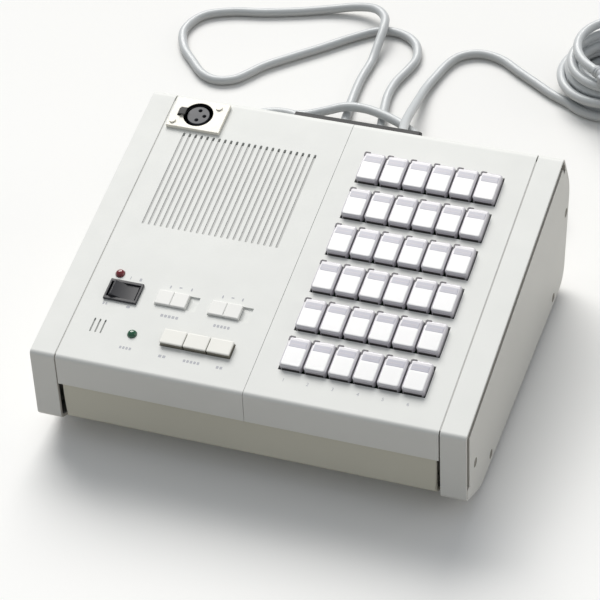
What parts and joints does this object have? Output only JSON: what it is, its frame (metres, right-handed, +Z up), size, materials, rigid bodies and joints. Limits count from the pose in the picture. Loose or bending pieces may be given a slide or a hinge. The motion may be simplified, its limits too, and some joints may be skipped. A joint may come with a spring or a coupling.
{
  "type": "desk intercom",
  "caption": "Sloping desk intercom console with a microphone socket, a slotted loudspeaker grille, talk and level controls, a field of station keys and coiled cables.",
  "frame": {"origin": "on the desk, under the middle of the console with its rear terminal cover", "axes": "+X to the right as seen by the user, +Y to the back, +Z up from the desk"},
  "size_m": [0.361, 0.4588, 0.1052],
  "materials": {
    "tray_plastic": "fine texture",
    "shell_plastic": "fine texture",
    "foot_rubber": "matte",
    "screw_steel": "satin",
    "speaker_metal": "matte",
    "socket_plastic": "satin",
    "black_plastic": "satin",
    "lamp_plastic": "glossy",
    "key_plastic": "satin",
    "talk_plastic": "satin",
    "board_plastic": "satin",
    "cover_plastic": "fine texture",
    "cable_jacket": "satin",
    "plug_plastic": "satin"
  },
  "bodies": {
    "case": {"base_tray": "tray_plastic", "top_panel_left": "shell_plastic", "top_panel_right": "shell_plastic", "end_cap_left": "shell_plastic", "end_cap_right": "shell_plastic", "side_plates": "shell_plastic", "rubber_feet": "foot_rubber", "case_screws": "screw_steel", "speaker": "speaker_metal", "mic_socket": "socket_plastic", "indicator_lamps": "lamp_plastic", "rocker_frame": "black_plastic", "circuit_boards": "board_plastic", "terminal_cover": "cover_plastic", "cords": "cable_jacket", "cord_coils": "cable_jacket", "cord_plugs": "plug_plastic"},
    "mic_latch": {"mic_latch": "black_plastic"},
    "power_rocker": {"power_rocker": "black_plastic"},
    "level_slider_1": {"level_slider_1": "key_plastic"},
    "level_slider_2": {"level_slider_2": "key_plastic"},
    "talk_key_1": {"talk_key_1": "talk_plastic"},
    "talk_key_2": {"talk_key_2": "talk_plastic"},
    "talk_key_3": {"talk_key_3": "talk_plastic"},
    "station_key_1_1": {"station_key_1_1": "key_plastic"},
    "station_key_1_2": {"station_key_1_2": "key_plastic"},
    "station_key_1_3": {"station_key_1_3": "key_plastic"},
    "station_key_1_4": {"station_key_1_4": "key_plastic"},
    "station_key_1_5": {"station_key_1_5": "key_plastic"},
    "station_key_1_6": {"station_key_1_6": "key_plastic"},
    "station_key_2_1": {"station_key_2_1": "key_plastic"},
    "station_key_2_2": {"station_key_2_2": "key_plastic"},
    "station_key_2_3": {"station_key_2_3": "key_plastic"},
    "station_key_2_4": {"station_key_2_4": "key_plastic"},
    "station_key_2_5": {"station_key_2_5": "key_plastic"},
    "station_key_2_6": {"station_key_2_6": "key_plastic"},
    "station_key_3_1": {"station_key_3_1": "key_plastic"},
    "station_key_3_2": {"station_key_3_2": "key_plastic"},
    "station_key_3_3": {"station_key_3_3": "key_plastic"},
    "station_key_3_4": {"station_key_3_4": "key_plastic"},
    "station_key_3_5": {"station_key_3_5": "key_plastic"},
    "station_key_3_6": {"station_key_3_6": "key_plastic"},
    "station_key_4_1": {"station_key_4_1": "key_plastic"},
    "station_key_4_2": {"station_key_4_2": "key_plastic"},
    "station_key_4_3": {"station_key_4_3": "key_plastic"},
    "station_key_4_4": {"station_key_4_4": "key_plastic"},
    "station_key_4_5": {"station_key_4_5": "key_plastic"},
    "station_key_4_6": {"station_key_4_6": "key_plastic"},
    "station_key_5_1": {"station_key_5_1": "key_plastic"},
    "station_key_5_2": {"station_key_5_2": "key_plastic"},
    "station_key_5_3": {"station_key_5_3": "key_plastic"},
    "station_key_5_4": {"station_key_5_4": "key_plastic"},
    "station_key_5_5": {"station_key_5_5": "key_plastic"},
    "station_key_5_6": {"station_key_5_6": "key_plastic"},
    "station_key_6_1": {"station_key_6_1": "key_plastic"},
    "station_key_6_2": {"station_key_6_2": "key_plastic"},
    "station_key_6_3": {"station_key_6_3": "key_plastic"},
    "station_key_6_4": {"station_key_6_4": "key_plastic"},
    "station_key_6_5": {"station_key_6_5": "key_plastic"},
    "station_key_6_6": {"station_key_6_6": "key_plastic"}
  },
  "joints": [
    {"name": "station_key_1_1_press", "type": "slide", "parent": "case", "child": "station_key_1_1", "axis": [0, 0.1564, -0.9877], "range_m": [0, 0.003], "stiffness_N_per_m": 200, "springref_m": -0.001},
    {"name": "station_key_1_2_press", "type": "slide", "parent": "case", "child": "station_key_1_2", "axis": [0, 0.1564, -0.9877], "range_m": [0, 0.003], "stiffness_N_per_m": 200, "springref_m": -0.001},
    {"name": "station_key_1_3_press", "type": "slide", "parent": "case", "child": "station_key_1_3", "axis": [0, 0.1564, -0.9877], "range_m": [0, 0.003], "stiffness_N_per_m": 200, "springref_m": -0.001},
    {"name": "station_key_1_4_press", "type": "slide", "parent": "case", "child": "station_key_1_4", "axis": [0, 0.1564, -0.9877], "range_m": [0, 0.003], "stiffness_N_per_m": 200, "springref_m": -0.001},
    {"name": "station_key_1_5_press", "type": "slide", "parent": "case", "child": "station_key_1_5", "axis": [0, 0.1564, -0.9877], "range_m": [0, 0.003], "stiffness_N_per_m": 200, "springref_m": -0.001},
    {"name": "station_key_1_6_press", "type": "slide", "parent": "case", "child": "station_key_1_6", "axis": [0, 0.1564, -0.9877], "range_m": [0, 0.003], "stiffness_N_per_m": 200, "springref_m": -0.001},
    {"name": "station_key_2_1_press", "type": "slide", "parent": "case", "child": "station_key_2_1", "axis": [0, 0.1564, -0.9877], "range_m": [0, 0.003], "stiffness_N_per_m": 200, "springref_m": -0.001},
    {"name": "station_key_2_2_press", "type": "slide", "parent": "case", "child": "station_key_2_2", "axis": [0, 0.1564, -0.9877], "range_m": [0, 0.003], "stiffness_N_per_m": 200, "springref_m": -0.001},
    {"name": "station_key_2_3_press", "type": "slide", "parent": "case", "child": "station_key_2_3", "axis": [0, 0.1564, -0.9877], "range_m": [0, 0.003], "stiffness_N_per_m": 200, "springref_m": -0.001},
    {"name": "station_key_2_4_press", "type": "slide", "parent": "case", "child": "station_key_2_4", "axis": [0, 0.1564, -0.9877], "range_m": [0, 0.003], "stiffness_N_per_m": 200, "springref_m": -0.001},
    {"name": "station_key_2_5_press", "type": "slide", "parent": "case", "child": "station_key_2_5", "axis": [0, 0.1564, -0.9877], "range_m": [0, 0.003], "stiffness_N_per_m": 200, "springref_m": -0.001},
    {"name": "station_key_2_6_press", "type": "slide", "parent": "case", "child": "station_key_2_6", "axis": [0, 0.1564, -0.9877], "range_m": [0, 0.003], "stiffness_N_per_m": 200, "springref_m": -0.001},
    {"name": "station_key_3_1_press", "type": "slide", "parent": "case", "child": "station_key_3_1", "axis": [0, 0.1564, -0.9877], "range_m": [0, 0.003], "stiffness_N_per_m": 200, "springref_m": -0.001},
    {"name": "station_key_3_2_press", "type": "slide", "parent": "case", "child": "station_key_3_2", "axis": [0, 0.1564, -0.9877], "range_m": [0, 0.003], "stiffness_N_per_m": 200, "springref_m": -0.001},
    {"name": "station_key_3_3_press", "type": "slide", "parent": "case", "child": "station_key_3_3", "axis": [0, 0.1564, -0.9877], "range_m": [0, 0.003], "stiffness_N_per_m": 200, "springref_m": -0.001},
    {"name": "station_key_3_4_press", "type": "slide", "parent": "case", "child": "station_key_3_4", "axis": [0, 0.1564, -0.9877], "range_m": [0, 0.003], "stiffness_N_per_m": 200, "springref_m": -0.001},
    {"name": "station_key_3_5_press", "type": "slide", "parent": "case", "child": "station_key_3_5", "axis": [0, 0.1564, -0.9877], "range_m": [0, 0.003], "stiffness_N_per_m": 200, "springref_m": -0.001},
    {"name": "station_key_3_6_press", "type": "slide", "parent": "case", "child": "station_key_3_6", "axis": [0, 0.1564, -0.9877], "range_m": [0, 0.003], "stiffness_N_per_m": 200, "springref_m": -0.001},
    {"name": "station_key_4_1_press", "type": "slide", "parent": "case", "child": "station_key_4_1", "axis": [0, 0.1564, -0.9877], "range_m": [0, 0.003], "stiffness_N_per_m": 200, "springref_m": -0.001},
    {"name": "station_key_4_2_press", "type": "slide", "parent": "case", "child": "station_key_4_2", "axis": [0, 0.1564, -0.9877], "range_m": [0, 0.003], "stiffness_N_per_m": 200, "springref_m": -0.001},
    {"name": "station_key_4_3_press", "type": "slide", "parent": "case", "child": "station_key_4_3", "axis": [0, 0.1564, -0.9877], "range_m": [0, 0.003], "stiffness_N_per_m": 200, "springref_m": -0.001},
    {"name": "station_key_4_4_press", "type": "slide", "parent": "case", "child": "station_key_4_4", "axis": [0, 0.1564, -0.9877], "range_m": [0, 0.003], "stiffness_N_per_m": 200, "springref_m": -0.001},
    {"name": "station_key_4_5_press", "type": "slide", "parent": "case", "child": "station_key_4_5", "axis": [0, 0.1564, -0.9877], "range_m": [0, 0.003], "stiffness_N_per_m": 200, "springref_m": -0.001},
    {"name": "station_key_4_6_press", "type": "slide", "parent": "case", "child": "station_key_4_6", "axis": [0, 0.1564, -0.9877], "range_m": [0, 0.003], "stiffness_N_per_m": 200, "springref_m": -0.001},
    {"name": "station_key_5_1_press", "type": "slide", "parent": "case", "child": "station_key_5_1", "axis": [0, 0.1564, -0.9877], "range_m": [0, 0.003], "stiffness_N_per_m": 200, "springref_m": -0.001},
    {"name": "station_key_5_2_press", "type": "slide", "parent": "case", "child": "station_key_5_2", "axis": [0, 0.1564, -0.9877], "range_m": [0, 0.003], "stiffness_N_per_m": 200, "springref_m": -0.001},
    {"name": "station_key_5_3_press", "type": "slide", "parent": "case", "child": "station_key_5_3", "axis": [0, 0.1564, -0.9877], "range_m": [0, 0.003], "stiffness_N_per_m": 200, "springref_m": -0.001},
    {"name": "station_key_5_4_press", "type": "slide", "parent": "case", "child": "station_key_5_4", "axis": [0, 0.1564, -0.9877], "range_m": [0, 0.003], "stiffness_N_per_m": 200, "springref_m": -0.001},
    {"name": "station_key_5_5_press", "type": "slide", "parent": "case", "child": "station_key_5_5", "axis": [0, 0.1564, -0.9877], "range_m": [0, 0.003], "stiffness_N_per_m": 200, "springref_m": -0.001},
    {"name": "station_key_5_6_press", "type": "slide", "parent": "case", "child": "station_key_5_6", "axis": [0, 0.1564, -0.9877], "range_m": [0, 0.003], "stiffness_N_per_m": 200, "springref_m": -0.001},
    {"name": "station_key_6_1_press", "type": "slide", "parent": "case", "child": "station_key_6_1", "axis": [0, 0.1564, -0.9877], "range_m": [0, 0.003], "stiffness_N_per_m": 200, "springref_m": -0.001},
    {"name": "station_key_6_2_press", "type": "slide", "parent": "case", "child": "station_key_6_2", "axis": [0, 0.1564, -0.9877], "range_m": [0, 0.003], "stiffness_N_per_m": 200, "springref_m": -0.001},
    {"name": "station_key_6_3_press", "type": "slide", "parent": "case", "child": "station_key_6_3", "axis": [0, 0.1564, -0.9877], "range_m": [0, 0.003], "stiffness_N_per_m": 200, "springref_m": -0.001},
    {"name": "station_key_6_4_press", "type": "slide", "parent": "case", "child": "station_key_6_4", "axis": [0, 0.1564, -0.9877], "range_m": [0, 0.003], "stiffness_N_per_m": 200, "springref_m": -0.001},
    {"name": "station_key_6_5_press", "type": "slide", "parent": "case", "child": "station_key_6_5", "axis": [0, 0.1564, -0.9877], "range_m": [0, 0.003], "stiffness_N_per_m": 200, "springref_m": -0.001},
    {"name": "station_key_6_6_press", "type": "slide", "parent": "case", "child": "station_key_6_6", "axis": [0, 0.1564, -0.9877], "range_m": [0, 0.003], "stiffness_N_per_m": 200, "springref_m": -0.001},
    {"name": "talk_key_1_press", "type": "slide", "parent": "case", "child": "talk_key_1", "axis": [0, 0.1564, -0.9877], "range_m": [0, 0.002], "stiffness_N_per_m": 300, "springref_m": -0.001},
    {"name": "talk_key_2_press", "type": "slide", "parent": "case", "child": "talk_key_2", "axis": [0, 0.1564, -0.9877], "range_m": [0, 0.002], "stiffness_N_per_m": 300, "springref_m": -0.001},
    {"name": "talk_key_3_press", "type": "slide", "parent": "case", "child": "talk_key_3", "axis": [0, 0.1564, -0.9877], "range_m": [0, 0.002], "stiffness_N_per_m": 300, "springref_m": -0.001},
    {"name": "mic_latch_press", "type": "slide", "parent": "case", "child": "mic_latch", "axis": [0, 0.1564, -0.9877], "range_m": [0, 0.0008], "stiffness_N_per_m": 600, "springref_m": -0.0005},
    {"name": "level_slider_1_slide", "type": "slide", "parent": "case", "child": "level_slider_1", "axis": [1, 0, 0], "range_m": [0, 0.006]},
    {"name": "level_slider_2_slide", "type": "slide", "parent": "case", "child": "level_slider_2", "axis": [1, 0, 0], "range_m": [0, 0.006]},
    {"name": "power_rocker_tilt", "type": "hinge", "parent": "case", "child": "power_rocker", "pos_m": [-0.0958, -0.06243, 0.0752], "axis": [0, -0.9877, -0.1564], "range_deg": [0, 24]}
  ]
}
